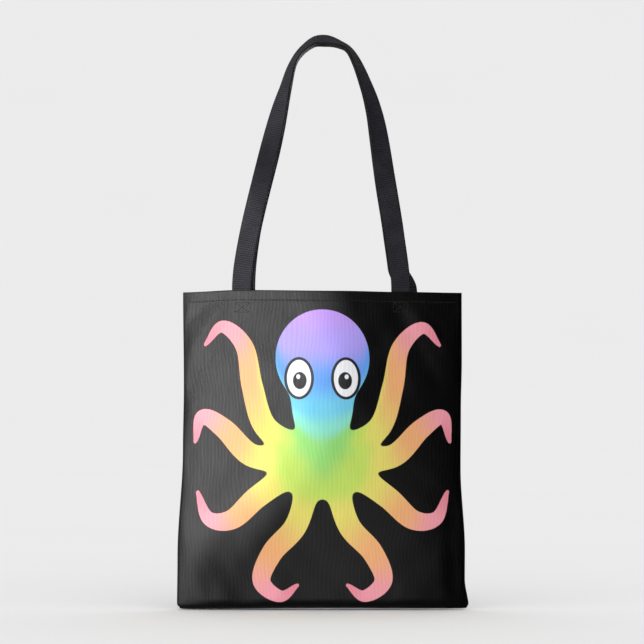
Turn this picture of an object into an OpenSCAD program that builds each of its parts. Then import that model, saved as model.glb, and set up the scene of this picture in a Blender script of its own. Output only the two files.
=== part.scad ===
// Cloth tote bag with two webbing handles, drawn as it hangs: the front faces -Y, up is +Z,
// and the origin is the hanging point, under the apex of the two handles.

/* [Bag body] */
// Height from the bottom fold to the rim
body_h = 406; // [340:1:440]
// Width across the rim
rim_w = 357; // [340:1:380]
// Width across the bottom
base_w = 372; // [340:1:400]
// Depth through the belly of the bag
belly_depth = 30; // [26:1:50]
// Depth at the rim
rim_depth = 18; // [18:0.5:22]
// Drop from the rim to where the belly is full
belly_drop = 130; // [90:5:180]
// Width of the rounded edge beside each side seam
edge_w = 26; // [18:1:34]
// Height of the rounded edge above the bottom seam
edge_h = 20; // [16:1:30]
// Thickness of the cloth
cloth_t = 1.2; // [0.8:0.1:1.4]
// Half width of the part of the front that opens
mouth_half = 122; // [120:1:140]

/* [Hem and seams] */
// Height of the hem folded inside the rim
hem_h = 13.5; // [10:0.5:20]
// Thickness of the folded hem
hem_t = 1; // [0.8:0.1:1.2]
// Drop of the hem's row of stitches from the rim
stitch_drop = 12; // [8:0.5:16]
// Width of the seam allowance left inside the bag
seam_w = 10; // [6:1:14]

/* [Handles] */
// Width of the webbing
web_w = 24.6; // [20:0.2:26]
// Thickness of the webbing
web_t = 1.8; // [1.4:0.1:2]
// Rise of the hanging point above the rim
handle_rise = 316; // [280:1:340]
// Distance of each handle foot from the middle
foot_x = 102; // [100:0.5:104]
// Length of webbing sewn inside the bag at each foot
tail_h = 30; // [24:1:40]
// Turn of the webbing where it lies over the hook, in degrees
apex_turn = 65; // [50:1:70]
// Distance of each handle from the middle plane at the apex
apex_y = 13; // [13:0.5:16]

/* [Hidden] */

rim_z = -handle_rise;
base_z = rim_z - body_h;
seam_gap = 0.2; // each panel's distance from the middle plane where the two meet
zone_gap = 0.4; // between the opening part of the front and the sewn sides
fit_gap = 0.05; // between layers that lie on each other
seam_play = 0.4; // room between a seam allowance and the panels round it
seam_clear = 1; // from the top of a side seam's allowance up to the hem
loop_start = 1; // rise above the rim where a handle's free loop begins
end_gap = 0.4; // between a sewn-in end and its free loop
thread_w = 0.7;
thread_t = 0.3;
turn_steps = 6; // facets round a quarter of an edge
belly_steps = 5; // facets from the rim down to the belly
ring_steps = 5; // webbing rings between two points of the route
cloth_color = [0.06, 0.06, 0.06];
hem_color = [0.1, 0.1, 0.1];
web_color = [0.15, 0.15, 0.17];
thread_color = [0.22, 0.22, 0.22];

// The webbing's middle line seen from the front, from left foot to right foot, as [x, rise above the
// rim]. The first and last points only make it leave the rim upright.
leg_rise = 73;
function foot_offset(side) = side < 0 ? -1 : -1.5;
web_route = [
    [-89, -60], [-foot_x + foot_offset(-1), loop_start], [-93, leg_rise], [-67.5, 181], [-51, 254],
    [-35.5, 296], [-2, handle_rise + 6], [29, handle_rise - 3.5], [52, 278], [69, 224],
    [83, 141], [93, leg_rise], [foot_x + foot_offset(1), loop_start], [89, -60]
];
// The back handle is sewn a little further right than the front one
back_shift_left = 5;
back_shift_right = 9;

function smooth(t) = let (c = min(max(t, 0), 1)) c * c * (3 - 2 * c);
function half_width(z) = (base_w + (rim_w - base_w) * (z - base_z) / body_h) / 2;
function half_depth(z) =
    (rim_depth + (belly_depth - rim_depth) * smooth((rim_z - z) / belly_drop)) / 2;

// Half depth of the faceted face of the bag, for what is sewn to it
function face_depth(z) =
    let (step = belly_drop / belly_steps, n = floor((rim_z - z) / step), part = (rim_z - z) / step - n)
    half_depth(rim_z - n * step) * (1 - part) + half_depth(rim_z - (n + 1) * step) * part;

// A column is [side of the bag, angle round the edge, x on the flat]; a row is [angle round the
// bottom edge, z]. inset is the distance in from the bag's outer face.
function row_z(row, inset) =
    row[0] < 90 ? base_z + inset + (edge_h - inset) * (1 - cos(row[0])) : row[1];
function column_x(column, z, inset) =
    column[1] < 90
        ? column[0] * (half_width(z) - inset - (edge_w - inset) * (1 - cos(column[1])))
        : column[2];
function cloth_point(face, column, row, inset) =
    let (z = row_z(row, inset), depth = (half_depth(z) - inset) * sin(column[1]) * sin(row[0]))
    [column_x(column, z, inset), face * (seam_gap + depth), z];

function edge_columns(side) = [for (i = [0 : turn_steps - 1]) [side, i * 90 / turn_steps, 0]];
function reversed(list) = [for (i = [len(list) - 1 : -1 : 0]) list[i]];
full_columns = concat(edge_columns(-1), [[-1, 90, -mouth_half], [1, 90, mouth_half]],
                      reversed(edge_columns(1)));
left_columns = concat(edge_columns(-1), [[-1, 90, -mouth_half - zone_gap]]);
right_columns = concat([[1, 90, mouth_half + zone_gap]], reversed(edge_columns(1)));
mouth_columns = [[-1, 90, -mouth_half], [1, 90, mouth_half]];

top_rows = [for (i = [belly_steps : -1 : 0]) [90, rim_z - belly_drop * i / belly_steps]];
panel_rows = concat([for (i = [0 : turn_steps]) [i * 90 / turn_steps, base_z + edge_h]], top_rows);
hem_rows = [[90, rim_z - hem_h], [90, rim_z]];

// Faces of a slab whose outer grid comes first and inner grid second, turned out by face
function slab_faces(rows, cols, face) =
    let (
        half = rows * cols,
        sheet = [for (r = [0 : rows - 2], c = [0 : cols - 2]) [r * cols + c, r * cols + c + 1,
                                                               (r + 1) * cols + c + 1,
                                                               (r + 1) * cols + c]],
        rim = concat(
            [for (c = [0 : cols - 1]) c],
            [for (r = [1 : rows - 1]) r * cols + cols - 1],
            [for (c = [cols - 2 : -1 : 0]) (rows - 1) * cols + c],
            [for (r = [rows - 2 : -1 : 1]) r * cols]
        ),
        split = concat([for (q = sheet) [q[0], q[2], q[1]]], [for (q = sheet) [q[0], q[3], q[2]]]),
        outer = split,
        inner = [for (t = split) [t[0] + half, t[2] + half, t[1] + half]],
        sides = [for (i = [0 : len(rim) - 1]) let (a = rim[i], b = rim[(i + 1) % len(rim)])
                 each [[a, b, b + half], [a, b + half, a + half]]],
        all = concat(outer, inner, sides)
    )
    face < 0 ? all : [for (t = all) reversed(t)];

// A layer of cloth between two insets, over the given columns and rows
module layer(face, columns, rows, from, to) {
    points = [for (inset = [from, to], row = rows, column = columns)
              cloth_point(face, column, row, inset)];
    polyhedron(points, slab_faces(len(rows), len(columns), face), convexity = 6);
}

module panel(face, columns) {
    layer(face, columns, panel_rows, 0, cloth_t);
}

module hem(face, columns) {
    layer(face, columns, hem_rows, cloth_t + fit_gap, cloth_t + fit_gap + hem_t);
}

module hem_thread(face, from, to) {
    z = rim_z - stitch_drop;
    y = face * (seam_gap + face_depth(z - thread_w / 2) + fit_gap + thread_t / 2);
    translate([(from + to) / 2, y, z]) cube([to - from, thread_t, thread_w], center = true);
}

// The allowance of a side seam, inside the bag, from above the bottom corner to below the hem
module side_seam(side) {
    top = rim_z - hem_h - seam_clear;
    low = base_z + edge_h;
    inset = cloth_t + seam_play;
    thick = 2 * cloth_t - seam_play / 2;
    translate([0, thick / 2, 0]) rotate([90, 0, 0]) linear_extrude(thick)
        polygon([
            [side * (half_width(low) - inset), low],
            [side * (half_width(top) - inset), top],
            [side * (half_width(top) - inset - seam_w), top],
            [side * (half_width(low) - inset - seam_w), low]
        ]);
}

// How far in from the bag's outer face the webbing lies: the cloth, the hem and three gaps
tail_inset = cloth_t + hem_t + 3 * fit_gap;
tail_y = half_depth(rim_z) + seam_gap - tail_inset - web_t / 2;
function back_shift(side) = side < 0 ? back_shift_left : back_shift_right;
function foot(face, side) = side * foot_x + foot_offset(side) + (face > 0 ? back_shift(side) : 0);

// A sewn-in end of a handle, hanging straight down inside the rim
module handle_end(face, side) {
    high = loop_start - end_gap;
    translate([foot(face, side), face * tail_y, rim_z + (high - tail_h) / 2])
        cube([web_w, web_t, tail_h + high], center = true);
}

// The box and cross of thread that hold both ends of a handle, on the face of the bag
module handle_stitches(face) {
    inset = 2.5;
    wide = web_w - 2 * inset;
    tall = tail_h - hem_h - inset;
    z = rim_z - hem_h - tall / 2;
    // laid just outside the cloth, which still curves gently here
    y = face * (seam_gap + face_depth(z - tall / 2) + fit_gap + thread_t / 2);
    for (side = [-1, 1])
        translate([foot(face, side), y, z]) rotate([90, 0, 0])
            linear_extrude(thread_t, center = true) {
                difference() {
                    square([wide, tall], center = true);
                    square([wide - 2 * thread_w, tall - 2 * thread_w], center = true);
                }
                for (lean = [-1, 1])
                    rotate(lean * atan2(tall, wide))
                        square([norm([wide, tall]) - thread_w * 3, thread_w], center = true);
            }
}

// A point of a smooth curve through the route, and its direction, t running from 0 to 1
function route_point(a, b, c, d, t) =
    (2 * b + (c - a) * t + (2 * a - 5 * b + 4 * c - d) * t * t + (3 * b - a - 3 * c + d) * t * t * t) / 2;
function route_slope(a, b, c, d, t) =
    ((c - a) + 2 * (2 * a - 5 * b + 4 * c - d) * t + 3 * (3 * b - a - 3 * c + d) * t * t) / 2;

// The webbing turns from flat at the feet to nearly edge-on over the hook
turn_start = 0.52 * handle_rise;
turn_drop = 0.4 * handle_rise;
shift_height = 90; // above the rim, where both handles run together
function turn_share(rise) = smooth((rise - turn_start) / turn_drop);
function shift_share(rise) = 1 - smooth(rise / shift_height);

function web_ring(face, at, slope) =
    let (
        share = turn_share(at[1]),
        along = slope / norm(slope),
        out = [-along[1], 0, along[0]],
        turn = apex_turn * share,
        wide = out * cos(turn) + [0, -face * sin(turn), 0],
        thick = -face * out * sin(turn) + [0, -cos(turn), 0],
        shift = face > 0 ? back_shift(at[0]) * shift_share(at[1]) : 0,
        middle = [at[0] + shift, face * (tail_y + (apex_y - tail_y) * share), rim_z + at[1]]
    )
    [for (corner = [[-1, -1], [1, -1], [1, 1], [-1, 1]])
     middle + wide * corner[0] * web_w / 2 + thick * corner[1] * web_t / 2];

// A handle's loop of webbing, one ring of four corners after another
module handle_loop(face) {
    spans = len(web_route) - 3;
    count = spans * ring_steps;
    rings = [for (i = [0 : count]) let (
        span = min(floor(i / ring_steps), spans - 1),
        t = i / ring_steps - span,
        a = web_route[span], b = web_route[span + 1], c = web_route[span + 2], d = web_route[span + 3]
    ) web_ring(face, route_point(a, b, c, d, t), route_slope(a, b, c, d, t))];
    walls = [for (i = [0 : count - 1], k = [0 : 3]) let (
        p = 4 * i + k, q = 4 * i + (k + 1) % 4
    ) each [[p, q, q + 4], [p, q + 4, p + 4]]];
    caps = [[0, 3, 2], [0, 2, 1], [4 * count, 4 * count + 1, 4 * count + 2],
            [4 * count, 4 * count + 2, 4 * count + 3]];
    polyhedron([for (ring = rings) each ring], concat(walls, caps), convexity = 10);
}

module back_panel() { color(cloth_color) panel(1, full_columns); }
module front_side_left() { color(cloth_color) panel(-1, left_columns); }
module front_side_right() { color(cloth_color) panel(-1, right_columns); }
module front_panel() { color(cloth_color) panel(-1, mouth_columns); }
module back_hem() { color(hem_color) hem(1, full_columns); }
module front_hem_left() { color(hem_color) hem(-1, left_columns); }
module front_hem_right() { color(hem_color) hem(-1, right_columns); }
module front_hem() { color(hem_color) hem(-1, mouth_columns); }
module side_seam_left() { color(hem_color) side_seam(-1); }
module side_seam_right() { color(hem_color) side_seam(1); }

// The allowance of the bottom seam stands up inside the bag, against the back panel
module bottom_seam() {
    inset = cloth_t + seam_play;
    long = base_w - 2 * edge_w;
    thick = 2 * cloth_t - seam_play;
    color(hem_color) translate([-long / 2, seam_gap, base_z + inset]) cube([long, thick, seam_w]);
}

module back_hem_thread() {
    flat = half_width(rim_z) - edge_w;
    color(thread_color) hem_thread(1, -flat, flat);
}
module front_hem_thread_left() {
    color(thread_color) hem_thread(-1, -half_width(rim_z) + edge_w, -mouth_half - zone_gap);
}
module front_hem_thread_right() {
    color(thread_color) hem_thread(-1, mouth_half + zone_gap, half_width(rim_z) - edge_w);
}
module front_hem_thread() { color(thread_color) hem_thread(-1, -mouth_half, mouth_half); }
module back_handle_end_left() { color(web_color) handle_end(1, -1); }
module back_handle_end_right() { color(web_color) handle_end(1, 1); }
module front_handle_end_left() { color(web_color) handle_end(-1, -1); }
module front_handle_end_right() { color(web_color) handle_end(-1, 1); }
module back_handle_stitches() { color(thread_color) handle_stitches(1); }
module front_handle_stitches() { color(thread_color) handle_stitches(-1); }
module front_handle() { color(web_color) handle_loop(-1); }
module back_handle() { color(web_color) handle_loop(1); }

back_panel();
front_side_left();
front_side_right();
side_seam_left();
side_seam_right();
bottom_seam();
back_hem();
front_hem_left();
front_hem_right();
back_hem_thread();
front_hem_thread_left();
front_hem_thread_right();
back_handle_end_left();
back_handle_end_right();
back_handle_stitches();
front_panel();
front_hem();
front_hem_thread();
front_handle_end_left();
front_handle_end_right();
front_handle_stitches();
front_handle();
back_handle();
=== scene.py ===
import bpy
import math
import numpy as np
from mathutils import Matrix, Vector


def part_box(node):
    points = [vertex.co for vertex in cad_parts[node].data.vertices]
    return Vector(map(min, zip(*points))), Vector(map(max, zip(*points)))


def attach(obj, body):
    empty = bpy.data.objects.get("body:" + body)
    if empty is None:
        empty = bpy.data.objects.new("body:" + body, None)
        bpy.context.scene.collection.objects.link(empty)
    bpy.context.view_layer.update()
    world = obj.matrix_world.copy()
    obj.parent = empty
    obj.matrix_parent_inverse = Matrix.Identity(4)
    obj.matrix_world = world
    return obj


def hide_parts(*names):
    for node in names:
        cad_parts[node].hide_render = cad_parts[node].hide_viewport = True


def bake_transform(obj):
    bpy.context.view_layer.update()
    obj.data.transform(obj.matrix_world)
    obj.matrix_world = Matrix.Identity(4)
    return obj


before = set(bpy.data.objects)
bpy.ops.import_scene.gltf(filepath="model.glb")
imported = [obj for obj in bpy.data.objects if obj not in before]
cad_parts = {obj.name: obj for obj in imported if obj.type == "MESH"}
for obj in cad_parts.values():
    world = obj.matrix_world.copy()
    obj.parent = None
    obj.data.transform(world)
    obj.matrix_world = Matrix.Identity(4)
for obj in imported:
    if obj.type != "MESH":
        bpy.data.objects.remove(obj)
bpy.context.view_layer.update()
print("frame loaded")

# Places taken from the frame, in metres: the front faces -Y, and +Z is up
frontLow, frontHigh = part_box("front_panel")
backLow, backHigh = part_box("back_panel")
rimHeight = frontHigh.z
baseHeight = frontLow.z
bagHeight = rimHeight - baseHeight
mouthHalf = frontHigh.x  # half width of the part of the front that opens
seamGap = backLow.y
hemToFace = 0.00125  # the hem lies this far inside the face of the cloth
rimDepth = abs(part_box("front_hem")[0].y) + hemToFace
bellyDepth = backHigh.y
clothSpan = 0.5  # metres of cloth to one step of its UV map
webbingSpan = 0.1
threadSpan = 0.1


def smooth(t):
    t = np.clip(t, 0.0, 1.0)
    return t * t * (3 - 2 * t)


def eased(value, stops):
    # runs through (place, height) stops with a flat tangent at each
    places = [s[0] for s in stops]
    heights = [s[1] for s in stops]
    value = np.clip(value, places[0], places[-1])
    k = np.clip(np.searchsorted(places, value, side="right") - 1, 0, len(stops) - 2)
    low, high = np.take(places, k), np.take(places, k + 1)
    a, b = np.take(heights, k), np.take(heights, k + 1)
    return a + (b - a) * smooth((value - low) / (high - low))


# A socket that can be used in an expression, which adds its Math nodes
class Wire:
    def __init__(self, tree, socket):
        self.tree = tree
        self.socket = socket

    def math(self, operation, other=None, swapped=False):
        node = self.tree.nodes.new("ShaderNodeMath")
        node.operation = operation
        pair = [self, other] if not swapped else [other, self]
        for k, item in enumerate(pair):
            if isinstance(item, Wire):
                self.tree.links.new(item.socket, node.inputs[k])
            elif item is not None:
                node.inputs[k].default_value = item
        return Wire(self.tree, node.outputs[0])

    def __add__(self, other): return self.math("ADD", other)
    def __radd__(self, other): return self.math("ADD", other)
    def __sub__(self, other): return self.math("SUBTRACT", other)
    def __rsub__(self, other): return self.math("SUBTRACT", other, True)
    def __mul__(self, other): return self.math("MULTIPLY", other)
    def __rmul__(self, other): return self.math("MULTIPLY", other)
    def __truediv__(self, other): return self.math("DIVIDE", other)
    def __pow__(self, other): return self.math("POWER", other)
    def __abs__(self): return self.math("ABSOLUTE")

    def sin(self): return self.math("SINE")
    def root(self): return self.math("SQRT")
    def least(self, other): return self.math("MINIMUM", other)
    def most(self, other): return self.math("MAXIMUM", other)

    def ramp(self, low, high):
        # 0 below low and 1 above high
        t = ((self - low) / (high - low)).most(0.0).least(1.0)
        return t * t * (3.0 - 2.0 * t)


# A material and the ways of adding nodes to it
class Finish:
    def __init__(self, name):
        self.material = bpy.data.materials.new(name)
        self.material.use_nodes = True
        self.tree = self.material.node_tree
        self.shader = self.tree.nodes["Principled BSDF"]

    def add(self, kind, settings, sockets, out=0):
        node = self.tree.nodes.new(kind)
        for key, value in settings.items():
            if key == "stops":
                self.setStops(node.color_ramp, value)
            else:
                setattr(node, key, value)
        for key, value in sockets.items():
            if isinstance(value, Wire):
                self.tree.links.new(value.socket, node.inputs[key])
            else:
                node.inputs[key].default_value = value
        return Wire(self.tree, node.outputs[out])

    def setStops(self, ramp, stops):
        ramp.interpolation = "EASE"
        while len(ramp.elements) < len(stops):
            ramp.elements.new(1.0)
        for element, (place, colour) in zip(ramp.elements, stops):
            element.position = place
            element.color = (*colour, 1.0)

    def uv(self, name, span):
        # the map itself, then metres across and metres along
        flat = self.add("ShaderNodeUVMap", {"uv_map": name}, {})
        across = self.add("ShaderNodeSeparateXYZ", {}, {"Vector": flat})
        along = Wire(self.tree, across.socket.node.outputs[1])
        return flat, across * span, along * span

    def noise(self, flat, scale, detail):
        settings = {"noise_dimensions": "2D"}
        return self.add("ShaderNodeTexNoise", settings, {"Vector": flat, "Scale": scale, "Detail": detail})

    def mix(self, share, a, b):
        node = self.tree.nodes.new("ShaderNodeMix")
        node.data_type = "RGBA"
        for socket, value in ((node.inputs[0], share), (node.inputs[6], a), (node.inputs[7], b)):
            if isinstance(value, Wire):
                self.tree.links.new(value.socket, socket)
            else:
                socket.default_value = value if isinstance(value, float) else (*value, 1.0)
        return Wire(self.tree, node.outputs[2])

    def scaled(self, colour, amount):
        # a colour made lighter or darker by a value
        node = self.tree.nodes.new("ShaderNodeVectorMath")
        node.operation = "SCALE"
        self.tree.links.new(colour.socket, node.inputs[0])
        self.tree.links.new(amount.socket, node.inputs["Scale"])
        return Wire(self.tree, node.outputs[0])

    def relief(self, height, strength, distance):
        sockets = {"Height": height, "Strength": strength, "Distance": distance}
        return self.add("ShaderNodeBump", {}, sockets)

    def shade(self, values):
        for key, value in values.items():
            if isinstance(value, Wire):
                self.tree.links.new(value.socket, self.shader.inputs[key])
            else:
                self.shader.inputs[key].default_value = value
        return self.material


def colourOf(hexText):
    parts = [int(hexText[k:k + 2], 16) / 255 for k in (0, 2, 4)]
    return tuple(p / 12.92 if p <= 0.04045 else ((p + 0.055) / 1.055) ** 2.4 for p in parts)


def meshPiece(name, points, faces, materials):
    mesh = bpy.data.meshes.new(name)
    mesh.from_pydata(np.asarray(points, float).reshape(-1, 3).tolist(), [], faces)
    for material in materials:
        mesh.materials.append(material)
    mesh.update()
    mesh.shade_smooth()
    piece = bpy.data.objects.new(name, mesh)
    bpy.context.scene.collection.objects.link(piece)
    return piece


def giveUv(piece, name, coordinates):
    layer = piece.data.uv_layers.new(name=name)
    corner = np.zeros(len(piece.data.loops), np.int32)
    piece.data.loops.foreach_get("vertex_index", corner)
    layer.data.foreach_set("uv", np.asarray(coordinates, np.float32)[corner].ravel())


def giveValues(piece, name, values):
    layer = piece.data.attributes.new(name, "FLOAT", "POINT")
    layer.data.foreach_set("value", np.asarray(values, np.float32).ravel())


def applyModifiers(piece):
    made = bpy.data.meshes.new_from_object(piece.evaluated_get(bpy.context.evaluated_depsgraph_get()))
    piece.modifiers.clear()
    old = piece.data
    piece.data = made
    bpy.data.meshes.remove(old)
    made.name = piece.name


def gridFaces(rows, columns, flip=False):
    faces = []
    for r in range(rows - 1):
        for c in range(columns - 1):
            a = r * columns + c
            quad = (a, a + 1, a + columns + 1, a + columns)
            faces.append(quad[::-1] if flip else quad)
    return faces


def closedFaces(count, sides):
    # quads between rings of points, one ring after another, and the two ends
    faces = []
    for r in range(count - 1):
        for k in range(sides):
            a, b = r * sides + k, r * sides + (k + 1) % sides
            faces.append((a, b, b + sides, a + sides))
    faces.append(tuple(range(sides))[::-1])
    faces.append(tuple((count - 1) * sides + k for k in range(sides)))
    return faces


def tubeMesh(path, radius, sides=6):
    # points and faces of a closed tube along a path
    path = np.asarray(path, float)
    along = np.gradient(path, axis=0)
    along /= np.linalg.norm(along, axis=1)[:, None] + 1e-12
    helper = np.where(np.abs(along[:, [2]]) > 0.9, [[0.0, 1.0, 0.0]], [[0.0, 0.0, 1.0]])
    across = np.cross(along, helper)
    across /= np.linalg.norm(across, axis=1)[:, None]
    third = np.cross(along, across)
    radii = np.broadcast_to(np.asarray(radius, float), (len(path),))
    turn = np.arange(sides) * 2 * math.pi / sides
    points = (path[:, None] + radii[:, None, None] * (across[:, None] * np.cos(turn)[None, :, None]
              + third[:, None] * np.sin(turn)[None, :, None])).reshape(-1, 3)
    return points, closedFaces(len(path), sides)


def joined(parts):
    points, faces, start = [], [], 0
    for p, f in parts:
        points.append(np.asarray(p, float).reshape(-1, 3))
        faces += [tuple(i + start for i in face) for face in f]
        start += len(points[-1])
    return np.concatenate(points), faces


# The print: a plain drawing of our own, measured flat on the cloth in metres
octopus = {
    "middle": (0.0, -0.536),  # of the body
    "bodySize": (0.058, 0.044),
    "headMiddle": (0.0, -0.402),
    "headSize": (0.060, 0.062),
    "neckMiddle": (0.0, -0.460),
    "neckSize": (0.039, 0.056),
    "armRoot": 0.0120,  # half width of an arm where it leaves the body
    "armTip": 0.0022,
    "armSwell": 0.0035,  # more half width in the middle of an arm
    "armSoft": 0.00495,  # how softly the arms run into the body
    "colourSoft": 0.012,  # and how softly their colours do
    "bodyTone": 0.55,  # place in the range of colours at the middle of the body
    "armTone": 0.62,  # and at an arm's root; its tip is at 1
    "toneOut": (0.13, 0.06),  # the change in place outward from the body's middle, and over how far
    "toneUp": (0.16, 0.045),  # and upward, towards the head
    "arms": [  # on one side; the other side is the same, mirrored
        [(0.036, -0.516), (0.074, -0.488), (0.090, -0.438), (0.100, -0.388), (0.128, -0.362),
         (0.150, -0.384)],
        [(0.048, -0.532), (0.092, -0.526), (0.126, -0.492), (0.154, -0.476), (0.163, -0.508)],
        [(0.044, -0.552), (0.084, -0.580), (0.116, -0.608), (0.146, -0.606), (0.160, -0.572)],
        [(0.018, -0.566), (0.034, -0.616), (0.064, -0.650), (0.078, -0.686), (0.054, -0.706),
         (0.032, -0.692)],
    ],
    "colours": [
        (0.00, "b88ce8"), (0.13, "a493ee"), (0.25, "4f97ec"), (0.36, "5fc4e4"), (0.45, "7fdcc4"),
        (0.54, "8fdc6a"), (0.64, "bedc4e"), (0.73, "e2d65a"), (0.84, "eea868"), (0.93, "f096a2"),
        (1.00, "e67e90"),
    ],
    "eyeMiddle": (0.0, -0.428),
    "eyeApart": 0.0300,  # of each eye from the middle of the face
    "eyeSize": (0.0190, 0.0270),
    "eyeRing": 0.0036,
    "pupilSize": (0.0088, 0.0110),
    "glintSize": (0.0026, 0.0030),
}


def alongCurve(points, count):
    # points spread along a smooth curve through all the given points but the first and the last
    p = np.asarray(points, float)
    spans = len(p) - 3
    out = []
    for k in range(count):
        s = k * spans / (count - 1)
        i = min(int(s), spans - 1)
        t = s - i
        a, b, c, d = p[i:i + 4]
        out.append((2 * b + (c - a) * t + (2 * a - 5 * b + 4 * c - d) * t * t
                    + (3 * b - a - 3 * c + d) * t ** 3) / 2)
    return np.array(out)


def roundDistance(x, z, middle, size):
    dx, dz = (x - middle[0]) / size[0], (z - middle[1]) / size[1]
    reach = np.sqrt(dx * dx + dz * dz)
    return (reach - 1) * np.where(reach > 1e-6, np.sqrt((x - middle[0]) ** 2 + (z - middle[1]) ** 2)
                                  / np.maximum(reach, 1e-6), min(size))


def printOn(x, z):
    # distance inside the drawing's edge, in metres, and its place in the range of colours
    shapes = []
    head = roundDistance(x, z, octopus["headMiddle"], octopus["headSize"])
    neck = roundDistance(x, z, octopus["neckMiddle"], octopus["neckSize"])
    body = roundDistance(x, z, octopus["middle"], octopus["bodySize"])
    top = octopus["headMiddle"][1] + octopus["headSize"][1]
    middle = octopus["middle"]
    upright = octopus["bodyTone"] * np.clip((top - z) / (top - middle[1]), 0, 1)
    away = np.sqrt((x - middle[0]) ** 2 + (z - middle[1]) ** 2)
    warmer, outward = octopus["toneOut"]
    cooler, upward = octopus["toneUp"]
    bodyTone = octopus["bodyTone"] + warmer * away / outward
    bodyTone = np.clip(bodyTone - cooler * np.clip((z - middle[1]) / upward, 0, 1), 0, 1)
    shapes += [(head, upright), (neck, upright), (body, bodyTone)]
    mirrored = [[(-ax, az) for ax, az in arm] for arm in octopus["arms"]]
    for arm in octopus["arms"] + mirrored:
        p = np.asarray(arm, float)
        path = alongCurve(np.vstack([2 * p[0] - p[1], p, 2 * p[-1] - p[-2]]), 60)
        share = np.linspace(0, 1, len(path))
        radius = octopus["armRoot"] * (1 - share) ** 0.8 + octopus["armTip"]
        radius = radius + octopus["armSwell"] * np.sin(share * math.pi)
        distance = np.full(x.shape, 9.0)
        tone = np.zeros(x.shape)
        for (px, pz), r, s in zip(path, radius, share):
            d = np.sqrt((x - px) ** 2 + (z - pz) ** 2) - r
            nearer = d < distance
            distance = np.where(nearer, d, distance)
            tone = np.where(nearer, octopus["armTone"] + (1 - octopus["armTone"]) * s ** 0.6, tone)
        shapes.append((distance, tone))
    weights = [np.exp(-np.clip(d, -0.1, 0.2) / octopus["armSoft"]) for d, _ in shapes]
    inside = octopus["armSoft"] * np.log(sum(weights))
    colourWeights = [np.exp(-np.clip(d, -0.1, 0.2) / octopus["colourSoft"]) for d, _ in shapes]
    tone = sum(w * t for w, (_, t) in zip(colourWeights, shapes)) / sum(colourWeights)
    return inside, tone


stitch = {
    "pitch": 0.0031,
    "length": 0.0025,
    "radius": 0.00036,
    "drop": 0.0125,  # of the hem's row below the rim
    "lineHalf": 0.0011,  # half width of the dimple that the row pulls in the cloth
    "edgeX": 0.172,  # where the hem's row ends, near the side seams
}
weave = {"rib": 0.00125, "cross": 0.00105, "cord": 0.0047}


def clothFinish(name, printed):
    f = Finish(name)
    flat, x, z = f.uv("clothFlat", clothSpan)
    lean = f.noise(flat, 7.0, 1.0)
    bent = x + (lean - 0.5) * 0.005
    ribs = abs((bent * (math.pi / weave["rib"])).sin())
    crossing = (z * (2 * math.pi / weave["cross"]) + bent * (math.pi / weave["rib"])).sin()
    drift = f.noise(flat, 5.0, 1.5)
    cords = ((x + (drift - 0.5) * 0.022) * (2 * math.pi / weave["cord"])).sin()
    drawnOut = f.add("ShaderNodeVectorMath", {"operation": "MULTIPLY"}, {0: flat, 1: (1.0, 0.08, 1.0)})
    slubs = f.noise(drawnOut, 240.0, 2.0)
    fibres = f.noise(flat, 900.0, 2.0)
    hemLine = (1.0 - abs(z - (bagHeight - stitch["drop"])) / stitch["lineHalf"]).most(0.0)
    pull = 0.65 + 0.35 * (x * (2 * math.pi / stitch["pitch"])).sin()
    hem = z.ramp(bagHeight - 0.0142, bagHeight - 0.0130)  # the step over the hem's lower edge
    height = ribs * 0.5 + crossing * 0.18 + cords * 0.20 + slubs * 0.22 + fibres * 0.25
    height = height + hem * 1.6 - hemLine * pull * 2.2
    # Partly painted shade: this brightness is higher on the raised ribs and cords and lower in the grooves
    # between them, as the relief is, and the blend of two blacks below is lighter on the cords; the slubs and
    # fibres add tone that differs at random
    weaveShadeAndTone = 0.75 + ribs * 0.12 + cords * 0.03 + (slubs - 0.5) * 0.10 + (fibres - 0.5) * 0.12
    cordShadeAndSlubTone = (slubs * 0.5 + cords * 0.25 + 0.25).ramp(0.2, 0.8)
    black = f.mix(cordShadeAndSlubTone, (0.0004, 0.0004, 0.0005), (0.0026, 0.0026, 0.0028))
    colour = black
    if printed:
        edge = f.add("ShaderNodeAttribute", {"attribute_name": "printEdge"}, {}, 2)
        tone = f.add("ShaderNodeAttribute", {"attribute_name": "printTone"}, {}, 2)
        stops = [(place, colourOf(text)) for place, text in octopus["colours"]]
        dye = f.add("ShaderNodeValToRGB", {"stops": stops}, {"Fac": tone})
        rough = (fibres - 0.5) * 0.7  # the dye's edge follows the threads
        colour = f.mix((edge + rough).ramp(-0.35, 0.35), black, dye)
        colour = eyesOn(f, colour, x, z)
    f.shade({
        "Base Color": f.scaled(colour, weaveShadeAndTone),
        "Roughness": 0.52 + (slubs - 0.5) * 0.14 - cords * 0.025,
        "Specular IOR Level": 0.8,
        "Sheen Weight": 0.07,
        "Sheen Roughness": 0.35,
        "Normal": f.relief(height, 0.55, 0.00022),
    })
    return f.material


def eyesOn(f, colour, x, z):
    # one eye each side of the middle of the face; x is flat on the cloth
    ex = abs(x - octopus["eyeMiddle"][0]) - octopus["eyeApart"]
    ez = z + (baseHeight - octopus["eyeMiddle"][1])

    def reach(dx, dz, size):
        return (((ex - dx) / size[0]) ** 2.0 + ((ez - dz) / size[1]) ** 2.0).root()

    size, ring, pupil = octopus["eyeSize"], octopus["eyeRing"], octopus["pupilSize"]
    inner = (size[0] - ring, size[1] - ring)
    colour = f.mix(1.0 - reach(0, 0, size).ramp(0.985, 1.015), colour, (0.010, 0.011, 0.016))
    colour = f.mix(1.0 - reach(0, 0, inner).ramp(0.98, 1.02), colour, (0.80, 0.80, 0.84))
    colour = f.mix(1.0 - reach(-0.001, -0.003, pupil).ramp(0.95, 1.05), colour, (0.008, 0.009, 0.014))
    colour = f.mix(1.0 - reach(0.001, 0.002, octopus["glintSize"]).ramp(0.85, 1.15), colour, (0.8, 0.8, 0.84))
    return colour


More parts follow.
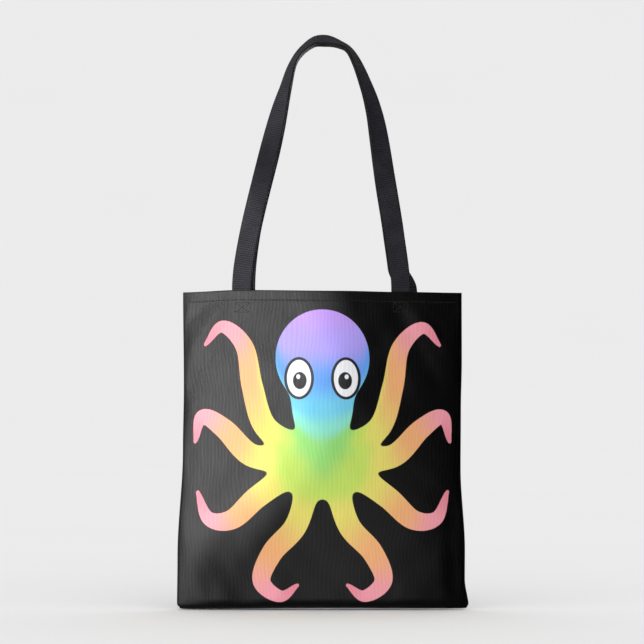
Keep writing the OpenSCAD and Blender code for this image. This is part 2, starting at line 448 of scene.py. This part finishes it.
def webbingFinish(name):
    f = Finish(name)
    flat, across, along = f.uv("webbingFlat", webbingSpan)
    wander = f.noise(flat, 30.0, 1.0)
    picks = (along + (wander - 0.5) * 0.0008) * (math.pi / 0.0028)  # one weft row every 2.8 mm
    cords = across * (math.pi / 0.0024)  # warp cords side by side
    rows = abs(picks.sin())
    lines = abs(cords.sin())
    woven = (picks.sin() * cords.sin()).ramp(-0.6, 0.6)  # over and under
    grain = f.noise(flat, 110.0, 3.0)
    broad = f.noise(flat, 5.0, 2.0)
    height = rows * 0.8 + lines * 0.4 + woven * 0.2 + grain * 0.5
    # Partly painted shade: lighter on the raised weft rows, warp cords and over-and-under crossings and
    # darker in the grooves, as the relief is; the grain and broad noise add tone that differs at random
    light = 0.22 + rows * 0.62 + lines * 0.24 + woven * 0.12 + (grain - 0.5) * 1.1 + (broad - 0.5) * 0.6
    selvedge = abs(across).ramp(0.0104, 0.0116)
    colour = f.mix(selvedge, (0.0200, 0.0196, 0.0278), (0.0105, 0.0105, 0.0142))
    f.shade({
        "Base Color": f.scaled(colour, light),
        "Roughness": 0.56 + (grain - 0.5) * 0.3,
        "Specular IOR Level": 0.35,
        "Sheen Weight": 0.08,
        "Sheen Roughness": 0.4,
        "Normal": f.relief(height, 0.9, 0.0005),
    })
    return f.material


def threadFinish(name):
    f = Finish(name)
    flat = f.add("ShaderNodeUVMap", {"uv_map": "threadFlat"}, {})
    twist = f.add("ShaderNodeTexWave", {"bands_direction": "DIAGONAL"}, {"Vector": flat, "Scale": 90.0})
    fibre = f.noise(flat, 250.0, 2.0)
    colour = f.mix(fibre.ramp(0.3, 0.7), (0.012, 0.012, 0.013), (0.035, 0.035, 0.038))
    f.shade({
        "Base Color": colour,
        "Roughness": 0.55 + (fibre - 0.5) * 0.2,
        "Specular IOR Level": 0.3,
        "Normal": f.relief(twist, 0.5, 0.0001),
    })
    return f.material


printedCloth = clothFinish("printedCloth", True)
plainCloth = clothFinish("plainCloth", False)
webbingCloth = webbingFinish("webbing")
sewingThread = threadFinish("sewingThread")
print("finishes made")


bag = {
    # half width against height up the bag: 0 at the bottom, 1 at the rim
    "leftEdge": [(0.0, 0.1868), (0.16, 0.1862), (0.50, 0.1792), (0.70, 0.1780), (1.0, 0.1790)],
    "rightEdge": [(0.0, 0.1878), (0.09, 0.1828), (0.18, 0.1830), (0.44, 0.1774), (0.62, 0.1778),
                  (0.78, 0.1790), (1.0, 0.1788)],
    "rimLine": [(-0.18, -0.0016), (-0.104, 0.0014), (0.02, 0.0004), (0.105, -0.0012), (0.18, -0.0022)],
    "baseLine": [(-0.18, -0.0014), (0.0, -0.0002), (0.18, -0.0006)],
    "cornerRadius": 0.0055,
    "bellyDrop": 0.150,  # from the rim to where the bag is deepest
    "bottomRound": 0.016,
    "thickness": 0.0009,
    "foldRadius": 0.00105,
    "hemHeight": 0.0135,
    "bottomGap": 0.0012,  # half the room left for the seam allowance along the bottom
    "hemInset": 0.0026,  # the hem inside stops short of the side seams
    "allowance": 0.010,  # of each sheet, for the fold at the rim and the bottom seam
    "crownPower": 3.0,  # the higher, the flatter the face and the rounder its sides
    "spacing": 0.0022,  # of the grid's rows and columns
    "nearSeam": 0.42,  # share of a side, next to its seam, where the columns get closer
    "roundRows": 12,
    "foldRows": 8,
    "hemRows": 6,
    "bellyExtra": 0.0015,  # for what the bottom's rounding takes away
    "rimCrease": 0.35,  # what is left of a crease's height at the rim
    "lift": 0.00025,  # of the face of the cloth from the plain shape
    "seamX": 0.178,  # where the sides of the front start to bend as the mouth opens
    "turnIn": (0.0004, 0.0018),  # how far the cloth turns in at the side seams
    "rollLift": 0.0003,  # of the cloth's lower edge above the bottom line
    "rollHeight": 0.0014,  # of the part turned up inside, at the bottom seam
}

# Soft creases as (x, z, x, z, width, height), pulled from the handles' feet and the corners
frontCreases = [
    (-0.126, -0.330, -0.176, -0.398, 0.0090, 0.0010),
    (-0.146, -0.324, -0.178, -0.362, 0.0075, -0.0008),
    (-0.116, -0.350, -0.170, -0.440, 0.0120, -0.0009),
    (-0.090, -0.345, -0.140, -0.460, 0.0140, 0.0006),
    (0.112, -0.336, 0.172, -0.404, 0.0085, 0.0011),
    (0.098, -0.348, 0.156, -0.450, 0.0105, -0.0010),
    (0.136, -0.326, 0.176, -0.362, 0.0070, -0.0008),
    (0.080, -0.360, 0.128, -0.462, 0.0125, 0.0007),
    (0.164, -0.600, 0.168, -0.702, 0.0080, -0.0012),
    (0.150, -0.640, 0.156, -0.712, 0.0095, 0.0008),
    (-0.176, -0.640, -0.150, -0.712, 0.0100, 0.0008),
    (-0.060, -0.724, -0.052, -0.694, 0.0090, 0.0006),
    (0.034, -0.724, 0.028, -0.700, 0.0100, -0.0005),
    (0.096, -0.724, 0.104, -0.690, 0.0090, 0.0006),
]
backCreases = [(-x0 + 0.004, z0 - 0.006, -x1, z1 - 0.01, w * 1.1, h * 0.9)
               for x0, z0, x1, z1, w, h in frontCreases[::-1]]


def halfWidth(x, z):
    up = (z - baseHeight) / bagHeight
    wide = np.where(x < 0, eased(up, bag["leftEdge"]), eased(up, bag["rightEdge"]))
    low = np.clip((z - baseHeight) / bag["cornerRadius"], 0, 1)
    return wide - bag["cornerRadius"] * (1 - np.sqrt(1 - (1 - low) ** 2))


def creaseAt(x, z, creases, phase):
    total = np.zeros(np.broadcast(x, z).shape)
    for x0, z0, x1, z1, wide, high in creases:
        run = np.array([x1 - x0, z1 - z0])
        long = np.hypot(*run)
        t = ((x - x0) * run[0] + (z - z0) * run[1]) / long ** 2
        off = ((x - x0) * run[1] - (z - z0) * run[0]) / long
        fade = smooth((t + 0.25) / 0.45) * smooth((1.25 - t) / 0.45)
        total = total + high * fade * np.exp(-(off / wide) ** 2)
    warp = 1.5 * np.sin(21 * x - 13 * z + phase) + 1.1 * np.sin(9 * x + 25 * z + 2 * phase)
    for fx, fz, size, turn in ((23, 17, 0.0007, 0.4), (41, -29, 0.00030, 1.9), (67, 52, 0.00015, 3.1)):
        total = total + size * np.sin(fx * x * 2 + fz * z * 2 + turn + phase + warp)
    return total


def faceDepth(side, x, z):
    # how far the cloth's face stands from the middle plane
    share = np.clip(np.abs(x) / halfWidth(x, z), 0, 1)
    crown = np.sqrt(np.maximum(1 - share ** bag["crownPower"], 0))
    belly = bellyDepth + bag["bellyExtra"]
    deep = rimDepth + (belly - rimDepth) * smooth((rimHeight - z) / bag["bellyDrop"])
    creases, phase = (frontCreases, 0.0) if side < 0 else (backCreases, 2.2)
    atRim = bag["rimCrease"]
    held = smooth((1 - share) / 0.06) * (atRim + (1 - atRim) * smooth((rimHeight - z) / 0.02))
    held = held * smooth((z - baseHeight) / 0.012)
    low = np.clip((z - baseHeight - eased(x, bag["baseLine"])) / bag["bottomRound"], 0, 1)
    deep = deep * np.sqrt(1 - (1 - low) ** 2) + bag["bottomGap"] * (1 - low)
    return deep * crown + creaseAt(x, z, creases, phase) * held


seamStart, seamEnd = 1.001, 1.01  # values past 1 mark the two columns turned in at the side seam


def sheetColumns(part):
    # columns as (kind, value): value is x on the middle part, or a share from there to the seam
    middle = [("x", x) for x in np.linspace(-mouthHalf, mouthHalf, 2 * round(mouthHalf / bag["spacing"]) + 1)]
    near = bag["nearSeam"]
    even = np.linspace(0.0, 1 - near, 14)[:-1]
    closer = [1 - near * (k / 16) ** 1.9 for k in range(16, -1, -1)]
    shares = [*even, *closer]
    right = [("right", s) for s in shares] + [("right", seamStart), ("right", seamEnd)]
    left = [("left", s) for _, s in right[::-1]]
    return {"left": left, "middle": middle, "right": right,
            "whole": left[:-1] + middle + right[1:]}[part]


def clothSheet(side, part):
    # the grid of the cloth from the bottom seam, up the face, over the rim and down the hem
    columns = sheetColumns(part)
    outward = {"left": -1.0, "right": 1.0}
    fold, round0 = bag["foldRadius"], bag["bottomRound"]
    bodyRows = round((bagHeight - round0) / bag["spacing"])
    rows = [("roll", 1), ("roll", 0)]
    rows += [("round", k * 90 / bag["roundRows"]) for k in range(bag["roundRows"])]
    rows += [("body", k / bodyRows) for k in range(bodyRows + 1)]
    rows += [("fold", k * 180 / bag["foldRows"]) for k in range(1, bag["foldRows"] + 1)]
    rows += [("hem", k / bag["hemRows"]) for k in range(1, bag["hemRows"] + 1)]
    grid = np.zeros((len(rows), len(columns), 3))
    flat = np.zeros((len(rows), len(columns), 2))
    for r, (kind, t) in enumerate(rows):
        x = np.array([c[1] if c[0] == "x" else outward[c[0]] * 0.18 for c in columns])
        for _ in range(2):  # the sides' x depends on z, and z a little on x
            rim = rimHeight + eased(x, bag["rimLine"])
            base = baseHeight + eased(x, bag["baseLine"])
            if kind == "roll":
                z = base + bag["rollLift"] + bag["rollHeight"] * t
                upFlat = -0.0015 * t
            elif kind == "round":
                z = base + round0 * (1 - math.cos(math.radians(t)))
                upFlat = round0 * (1 - math.cos(math.radians(t)))
            elif kind == "body":
                z = base + round0 + (rim - fold - base - round0) * t
                upFlat = round0 + (bagHeight - fold - round0) * t
            elif kind == "fold":
                z = rim - fold + fold * math.sin(math.radians(t))
                upFlat = bagHeight - fold + fold * math.radians(t)
            else:
                z = rim - fold - bag["hemHeight"] * t
                upFlat = bagHeight - fold + fold * math.pi + bag["hemHeight"] * t
            zWide = np.maximum(z, baseHeight + 0.0001)
            x = np.array([
                c[1] if c[0] == "x" else
                outward[c[0]] * (mouthHalf + (halfWidth(outward[c[0]], w) - mouthHalf) * min(c[1], 1.0))
                for c, w in zip(columns, np.broadcast_to(zWide, len(columns)))])
        wide = halfWidth(x, zWide)
        y = faceDepth(side, x, np.minimum(z, rim))
        room = np.minimum(fold * 2, y * 0.9)
        if kind == "fold":
            y = y - room * (1 - math.cos(math.radians(t))) / 2
        flatX = x.copy()
        if kind == "hem":
            y = y - room + 0.0005 * (t > 0.99)
        if kind == "hem" or (kind == "fold" and t > 90):
            x = x - np.sign(x) * bag["hemInset"] * smooth((np.abs(x) / wide - 0.9) / 0.1)
        for k, c in enumerate(columns):  # the last columns turn in to the seam
            if c[0] != "x" and c[1] > 1.0:
                last = c[1] == seamEnd
                x[k] -= math.copysign(bag["turnIn"][last], x[k])
                y[k] = -0.00005 if last else 0.0
        grid[r] = np.stack([x, side * (seamGap + y + bag["lift"]), z * np.ones_like(x)], axis=1)
        flat[r] = np.stack([flatX / clothSpan, upFlat * np.ones_like(x) / clothSpan], axis=1)
    return grid, flat


# What lies on the left or right side, from the sewn side to the edge of the part that opens, is baked in
# place; the rest hangs on its body
def rideOn(piece, body):
    if body == "left":
        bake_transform(piece)
    elif body == "right":
        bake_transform(piece)
    else:
        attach(piece, body)


def clothPiece(name, side, part, material, body, nodes):
    grid, flat = clothSheet(side, part)
    rows, columns = grid.shape[:2]
    piece = meshPiece(name, grid, gridFaces(rows, columns, side > 0), [material, plainCloth])
    giveUv(piece, "clothFlat", flat.reshape(-1, 2))
    if side < 0:
        x, z = flat[..., 0].ravel() * clothSpan, flat[..., 1].ravel() * clothSpan + baseHeight
        edge, tone = printOn(x, z)
        giveValues(piece, "printEdge", edge * 1000)  # in millimetres
        giveValues(piece, "printTone", tone)
    solid = piece.modifiers.new("thickness", "SOLIDIFY")
    solid.thickness = bag["thickness"]
    solid.offset = -1
    solid.material_offset = 1
    solid.material_offset_rim = 1
    applyModifiers(piece)
    piece.data.set_sharp_from_angle(angle=math.radians(50))
    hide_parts(*nodes)
    rideOn(piece, body)


clothPiece("frontCloth", -1, "middle", printedCloth, "front_mouth", ["front_panel", "front_hem"])
clothPiece("frontClothLeft", -1, "left", printedCloth, "left", ["front_side_left", "front_hem_left"])
clothPiece("frontClothRight", -1, "right", printedCloth, "right", ["front_side_right", "front_hem_right"])
clothPiece("backCloth", 1, "whole", plainCloth, "bag", ["back_panel", "back_hem"])
print("cloth made")


def stitchRow(path, outward):
    # one short thread for each stitch along a path on the cloth, half sunk in it
    path = np.asarray(path, float)
    steps = np.linalg.norm(np.diff(path, axis=0), axis=1)
    reach = np.concatenate([[0], np.cumsum(steps)])
    count = max(int(reach[-1] / stitch["pitch"]), 1)
    parts = []
    for k in range(count):
        middle = (k + 0.5) * reach[-1] / count
        places = np.linspace(-0.5, 0.5, 5) * stitch["length"] + middle
        line = np.stack([np.interp(places, reach, path[:, a]) for a in range(3)], axis=1)
        line += np.asarray(outward) * (np.array([-0.5, 0.5, 0.7, 0.5, -0.5]) * stitch["radius"])[:, None]
        parts.append(tubeMesh(line, stitch["radius"] * np.array([0.5, 0.9, 1.0, 0.9, 0.5])))
    return parts


def hemRow(side, start, end):
    x = np.linspace(start, end, 120)
    z = rimHeight + eased(x, bag["rimLine"]) - stitch["drop"]
    y = side * (seamGap + faceDepth(side, x, z) + bag["lift"])
    return stitchRow(np.stack([x, y, z], axis=1), (0, side, 0))


def threadPiece(name, parts, body, nodes=()):
    points, faces = joined(parts)
    piece = meshPiece(name, points, faces, [sewingThread])
    giveUv(piece, "threadFlat", points[:, [0, 2]] / threadSpan)
    if nodes:
        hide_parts(*nodes)
    rideOn(piece, body)


sideX = stitch["edgeX"]
threadPiece("hemStitches", hemRow(-1, -mouthHalf, mouthHalf), "front_mouth", ["front_hem_thread"])
threadPiece("hemStitchesLeft", hemRow(-1, -sideX, -mouthHalf), "left", ["front_hem_thread_left"])
threadPiece("hemStitchesRight", hemRow(-1, mouthHalf, sideX), "right", ["front_hem_thread_right"])
threadPiece("hemStitchesBack", hemRow(1, -sideX, sideX), "bag", ["back_hem_thread"])


boxInset = 0.003  # of the sewn box from the edges of the webbing
boxDrop = 0.015  # of its top below the rim


def boxStitches(side, nodeLeft, nodeRight):
    # a box and a cross at each handle end, through the face and on the webbing inside
    parts = []
    for node in (nodeLeft, nodeRight):
        low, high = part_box(node)
        middle = (low.x + high.x) / 2
        half = (high.x - low.x) / 2 - boxInset
        top, bottom = rimHeight - boxDrop, low.z + boxInset
        corners = [(-half, top), (half, top), (half, bottom), (-half, bottom), (-half, top)]
        lines = list(zip(corners[:-1], corners[1:])) + [(corners[0], corners[2]), (corners[1], corners[3])]
        for (x0, z0), (x1, z1) in lines:
            x = middle + np.linspace(x0, x1, 24)
            z = np.linspace(z0, z1, 24)
            face = side * (seamGap + faceDepth(side, x, z) + bag["lift"])
            inside = (high.y if side < 0 else low.y) * np.ones_like(x)
            parts += stitchRow(np.stack([x, face, z], axis=1), (0, side, 0))
            parts += stitchRow(np.stack([x, inside, z], axis=1), (0, -side, 0))
    return parts


threadPiece("frontHandleStitches", boxStitches(-1, "front_handle_end_left", "front_handle_end_right"),
            "front_mouth", ["front_handle_stitches"])
threadPiece("backHandleStitches", boxStitches(1, "back_handle_end_left", "back_handle_end_right"),
            "bag", ["back_handle_stitches"])
print("stitches made")


handle = {
    # middle line from the left foot to the right foot, as (x, height above the rim)
    "route": [(-0.1037, 0.001), (-0.0942, 0.073), (-0.0682, 0.181), (-0.0499, 0.254), (-0.0358, 0.2967),
              (-0.0148, 0.3186), (0.0032, 0.3222), (0.0218, 0.3176), (0.0367, 0.307), (0.0528, 0.2735),
              (0.0684, 0.224), (0.0817, 0.141), (0.0925, 0.073), (0.1005, 0.001)],
    # how far the webbing is twisted edge on, as (x, degrees): most at the two shoulders of the arch
    "twist": [(-0.071, 0), (-0.057, 35), (-0.048, 59), (-0.036, 73), (-0.021, 70), (0.003, 57), (0.022, 73),
              (0.032, 77), (0.043, 66), (0.058, 53), (0.067, 41), (0.075, 21), (0.084, 0)],
    "lead": -0.060,  # height of the points that make the webbing leave the rim upright
    "rise": 0.316,
    "apexY": 0.013,
    "lean": (0.52, 0.4),  # shares of the rise: where the legs start to lean together, and over how much
    "softRings": 11,  # how many rings the twist is evened out over
    "backShift": [(0.0, 0.0050), (0.090, 0.0018), (0.250, 0.0022), (0.300, 0.0)],  # left leg, against height
    "backShiftRight": [(0.0, 0.0090), (0.030, -0.0024), (0.200, -0.0022), (0.300, 0.0)],
    "ringStep": 0.0025,
    "bulge": 0.0006,  # the webbing is a little thicker in its middle than at its edges
    "bend": (-0.001, 0.007),  # the heights between which it bends as the handle folds down
}


def webbingSection(wide, thick):
    # half widths and half thicknesses round a flat band with soft edges
    points = []
    for k in range(11):
        s = -1 + 2 * k / 10
        points.append((s * wide * 0.94, -thick - handle["bulge"] / 2 * (1 - s * s) * 0.3))
    points += [(wide * 0.985, -thick * 0.75), (wide, 0.0), (wide * 0.985, thick * 0.75)]
    for k in range(11):
        s = 1 - 2 * k / 10
        points.append((s * wide * 0.94, thick + handle["bulge"] / 2 * (1 - s * s) * 0.3))
    points += [(-wide * 0.985, thick * 0.75), (-wide, 0.0), (-wide * 0.985, -thick * 0.75)]
    return np.array(points)


def handlePiece(name, side, tails, loop):
    lowLeft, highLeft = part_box(tails[0])
    wide = (highLeft.x - lowLeft.x) / 2
    thick = (highLeft.y - lowLeft.y) / 2
    tailY = abs(highLeft.y + lowLeft.y) / 2
    tailLong = rimHeight - lowLeft.z
    route = np.array(handle["route"], float)
    lead, follow = [(x, handle["lead"]) for x in (route[1, 0], route[-2, 0])]
    path = alongCurve(np.vstack([lead, route, follow]), 20 * (len(route) - 1) + 1)
    if side > 0:
        path[:, 0] += np.where(path[:, 0] < 0, eased(path[:, 1], handle["backShift"]),
                               eased(path[:, 1], handle["backShiftRight"]))
    tailSteps = np.linspace(-tailLong, 0.0, 13)[:, None]
    start = np.hstack([np.full_like(tailSteps, path[0, 0]), tailSteps])
    end = np.hstack([np.full_like(tailSteps, path[-1, 0]), tailSteps[::-1]])
    path = np.vstack([start, path, end])
    reach = np.concatenate([[0], np.cumsum(np.linalg.norm(np.diff(path, axis=0), axis=1))])
    even = np.linspace(0, reach[-1], round(reach[-1] / handle["ringStep"]) + 1)
    path = np.stack([np.interp(even, reach, path[:, k]) for k in (0, 1)], axis=1)
    along = np.gradient(path, axis=0)
    along /= np.linalg.norm(along, axis=1)[:, None]
    leanFrom, leanOver = handle["lean"]
    share = smooth((path[:, 1] - leanFrom * handle["rise"]) / (leanOver * handle["rise"]))
    turn = np.interp(path[:, 0], *np.array(handle["twist"], float).T)
    rings = handle["softRings"]
    window = np.hanning(rings) / np.hanning(rings).sum()
    turn = np.radians(np.convolve(np.pad(turn, rings // 2, "edge"), window, "valid"))
    out = np.stack([-along[:, 1], np.zeros(len(path)), along[:, 0]], axis=1)
    cross = out * np.cos(turn)[:, None] + np.stack([0 * turn, -side * np.sin(turn), 0 * turn], axis=1)
    normal = -side * out * np.sin(turn)[:, None] + np.stack([0 * turn, -np.cos(turn), 0 * turn], axis=1)
    y = side * (tailY + (handle["apexY"] - tailY) * share)
    middle = np.stack([path[:, 0], y, rimHeight + path[:, 1]], axis=1)
    section = webbingSection(wide, thick)
    points = middle[:, None] + cross[:, None] * section[None, :, [0]]
    points = points + normal[:, None] * section[None, :, [1]]
    count, sides = points.shape[:2]
    piece = meshPiece(name, points, closedFaces(count, sides), [webbingCloth])
    uv = np.zeros((count, sides, 2))
    uv[..., 0] = section[None, :, 0] / webbingSpan
    uv[..., 1] = even[:, None] / webbingSpan
    giveUv(piece, "webbingFlat", uv.reshape(-1, 2))
    piece.data.set_sharp_from_angle(angle=math.radians(60))
    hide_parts(loop, *tails)
    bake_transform(piece)


handlePiece("frontWebbing", -1, ["front_handle_end_left", "front_handle_end_right"],
            "front_handle")
handlePiece("backWebbing", 1, ["back_handle_end_left", "back_handle_end_right"], "back_handle")
print("handles made")


# Seam allowances inside the bag, with overlocked edges
seam = {
    "fromEdge": 0.0022,  # of the sewn line from the bag's side
    "wide": 0.0098,
    "wave": 0.0004,
    "step": 0.004,
    "thread": 0.00028,
    "pitch": 0.0032,
    # round one layer, as (share of the way to the raw edge, share of the half thickness)
    "section": [(0.0, 0.25), (0.3, 0.5), (0.7, 0.55), (1.0, 0.5), (1.0, 0.06), (0.7, 0.04), (0.3, 0.04),
                (0.0, 0.04)],
    "puff": 1.7,  # how much thicker the pressed layers are than that
}


def seamStrip(name, node, side):
    # side is -1 or 1 for a side seam and 0 for the bottom seam
    low, high = [np.array(c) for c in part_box(node)]
    middle = (low[1] + high[1]) / 2
    half = (high[1] - low[1]) / 2
    if side:
        runs = np.arange(low[2], high[2], seam["step"])
        sewn = side * (halfWidth(float(side), runs) - seam["fromEdge"])
        sewnLine = np.stack([sewn, np.full_like(runs, middle), runs], axis=1)
        edgeLine = np.stack([sewn - side * seam["wide"], np.full_like(runs, middle), runs], axis=1)
    else:
        runs = np.arange(low[0], high[0], seam["step"])
        sewnLine = np.stack([runs, np.full_like(runs, middle), np.full_like(runs, low[2])], axis=1)
        edgeLine = np.stack([runs, np.full_like(runs, middle), np.full_like(runs, high[2])], axis=1)
    wave = seam["wave"] * np.sin(runs * 260) + seam["wave"] * 0.7 * np.sin(runs * 97 + 1)
    parts = []
    for layer in (-1, 1):  # the two cloths of the seam, pressed together
        section = []
        for share, away in seam["section"]:
            line = sewnLine * (1 - share) + edgeLine * share
            offset = layer * half * away * seam["puff"] + wave * share
            section.append(line + np.stack([0 * runs, offset, 0 * runs], axis=1))
        points = np.stack(section, axis=1)
        count, sides = points.shape[:2]
        faces = closedFaces(count, sides)
        if layer * (side or 1) < 0:
            faces = [face[::-1] for face in faces]
        parts.append((points, faces))
    points, faces = joined(parts)
    strip = meshPiece(name, points, faces, [plainCloth])
    giveUv(strip, "clothFlat", (points[:, [0, 2]] - (0, baseHeight)) / clothSpan)
    strip.data.set_sharp_from_angle(angle=math.radians(50))
    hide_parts(node)
    rideOn(strip, "bag")
    # the overlock thread goes over the raw edge and back in a zigzag
    loops = np.arange(runs[0], runs[-1], seam["pitch"] / 4)
    beat = np.arange(len(loops)) % 4
    inAt = [np.interp(loops, runs, sewnLine[:, k]) for k in range(3)]
    outAt = [np.interp(loops, runs, edgeLine[:, k]) for k in range(3)]
    share = np.where(beat % 2 == 0, 0.62, 1.03)
    line = np.stack(inAt, axis=1) * (1 - share)[:, None] + np.stack(outAt, axis=1) * share[:, None]
    line[:, 1] += np.interp(loops, runs, wave) + np.choose(beat, [1, 0, -1, 0]) * (half * 0.95 + 0.0001)
    threadPiece(name + "Overlock", [tubeMesh(line, seam["thread"], 5)], "bag")


seamStrip("leftSeam", "side_seam_left", -1)
seamStrip("rightSeam", "side_seam_right", 1)
seamStrip("bottomSeam", "bottom_seam", 0)
print("seams made")


# A round floor that curves up into a wall, all of pale paper
room = {"floor": -0.7247, "radius": 5.0, "corner": 2.6, "wall": 5.0}


def makeRoom():
    profile = [(k * room["radius"] / 12, room["floor"]) for k in range(1, 13)]
    for k in range(1, 17):
        a = k / 16 * math.pi / 2
        profile.append((room["radius"] + room["corner"] * math.sin(a),
                        room["floor"] + room["corner"] * (1 - math.cos(a))))
    profile.append((room["radius"] + room["corner"], room["floor"] + room["corner"] + room["wall"]))
    turns = 96
    points = [(r * math.cos(t * 2 * math.pi / turns), r * math.sin(t * 2 * math.pi / turns), z)
              for r, z in profile for t in range(turns)]
    faces = []
    for r in range(len(profile) - 1):
        for k in range(turns):
            a, b = r * turns + k, r * turns + (k + 1) % turns
            faces.append((a, b, b + turns, a + turns)[::-1])
    faces.append(tuple(range(turns)))
    f = Finish("paperBackdrop")
    place = f.add("ShaderNodeTexCoord", {}, {}, 3)
    grain = f.add("ShaderNodeTexNoise", {}, {"Vector": place, "Scale": 3.0, "Detail": 2.0})
    f.shade({"Base Color": f.mix(grain, (0.865, 0.865, 0.862), (0.885, 0.885, 0.882)), "Roughness": 0.95,
             "Specular IOR Level": 0.0})
    backdrop = meshPiece("backdrop", points, faces, [f.material])
    backdrop.visible_diffuse = False
    backdrop.visible_glossy = False
    backdrop.visible_shadow = False
    return backdrop


backdrop = makeRoom()
# The lamps light the bag alone, so the paper stays even
lampTargets = bpy.data.collections.new("lampTargets")
lampTargets.objects.link(backdrop)
lampTargets.collection_objects[0].light_linking.link_state = "EXCLUDE"


def placeLamp(name, light, place, target):
    lamp = bpy.data.objects.new(name, light)
    lamp.location = place
    lamp.rotation_euler = (Vector(target) - Vector(place)).to_track_quat("-Z", "Y").to_euler()
    bpy.context.scene.collection.objects.link(lamp)
    lamp.light_linking.receiver_collection = lampTargets


def addPanelLamp(name, place, target, wide, tall, power):
    light = bpy.data.lights.new(name, "AREA")
    light.shape = "RECTANGLE"
    light.size = wide
    light.size_y = tall
    light.energy = power
    placeLamp(name, light, place, target)


def addSpotLamp(name, place, target, degrees, blend, soft, power):
    light = bpy.data.lights.new(name, "SPOT")
    light.spot_size = math.radians(degrees)
    light.spot_blend = blend
    light.shadow_soft_size = soft
    light.energy = power
    placeLamp(name, light, place, target)


world = bpy.data.worlds.new("studio")
world.use_nodes = True
world.node_tree.nodes["Background"].inputs["Color"].default_value = (0.97, 0.97, 0.975, 1)
world.node_tree.nodes["Background"].inputs["Strength"].default_value = 0.985
bpy.context.scene.world = world
world.cycles_visibility.glossy = False  # the pale room would grey the black cloth
addSpotLamp("keyLeft", (-0.28, -0.95, -0.38), (-0.268, 0.0, -0.395), 34.5, 0.16, 0.032, 23.5)
addSpotLamp("lowSoft", (0.0, -1.20, -0.80), (0.008, 0.0, -0.66), 15.5, 0.8, 0.08, 4.6)
addPanelLamp("fillLeft", (-0.60, -0.50, -0.76), (-0.10, 0.0, -0.68), 0.20, 0.5, 1.75)
addPanelLamp("highLeft", (-1.00, -0.30, 0.40), (-0.02, 0.0, 0.0), 0.50, 0.50, 6.5)
addPanelLamp("backSoft", (0.35, 0.90, -0.30), (0.05, 0.0, -0.45), 0.40, 0.6, 3.6)

bpy.context.scene.view_settings.view_transform = "Standard"

lens = {"focal": 180.0, "viewWidth": 0.827, "middle": (-0.0006, -0.3557)}
camera = bpy.data.cameras.new("camera")
camera.lens = lens["focal"]
camera.sensor_width = 36.0
camera.clip_end = 60
eye = bpy.data.objects.new("camera", camera)
eye.location = (lens["middle"][0], -lens["viewWidth"] * lens["focal"] / 36.0, lens["middle"][1])
eye.rotation_euler = (math.pi / 2, 0, 0)
bpy.context.scene.collection.objects.link(eye)
bpy.context.scene.camera = eye
print("room and camera made")
